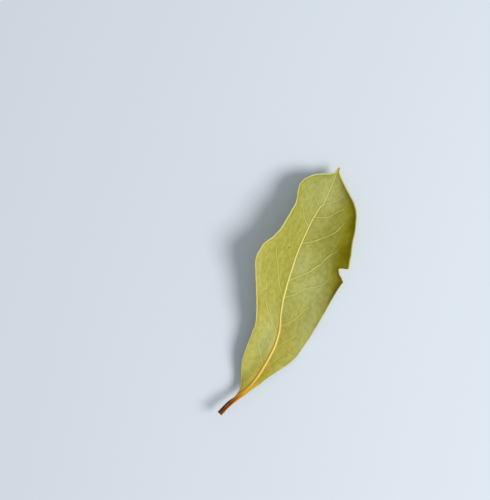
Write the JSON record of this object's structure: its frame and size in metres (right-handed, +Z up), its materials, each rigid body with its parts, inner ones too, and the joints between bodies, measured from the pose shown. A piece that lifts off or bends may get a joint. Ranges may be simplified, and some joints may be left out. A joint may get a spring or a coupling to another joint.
{
  "type": "dried bay leaf",
  "caption": "Dried bay leaf, olive green, cupped along a yellow midrib, with raised side veins, waved edges, a torn notch and a short brown stalk",
  "frame": {"origin": "middle of the leaf's box seen from above, at the height of the surface it lies on", "axes": "+Y along the leaf from the stalk to the tip, +X to the right seen from above with the tip away, +Z up out of the leaf's upper face"},
  "size_m": [0.0288, 0.0863, 0.0125],
  "materials": {
    "leaf": "matte dried leaf, olive green with a yellow midrib and a brown stalk"
  },
  "bodies": {
    "root": {"bay_leaf": "leaf"}
  },
  "joints": []
}
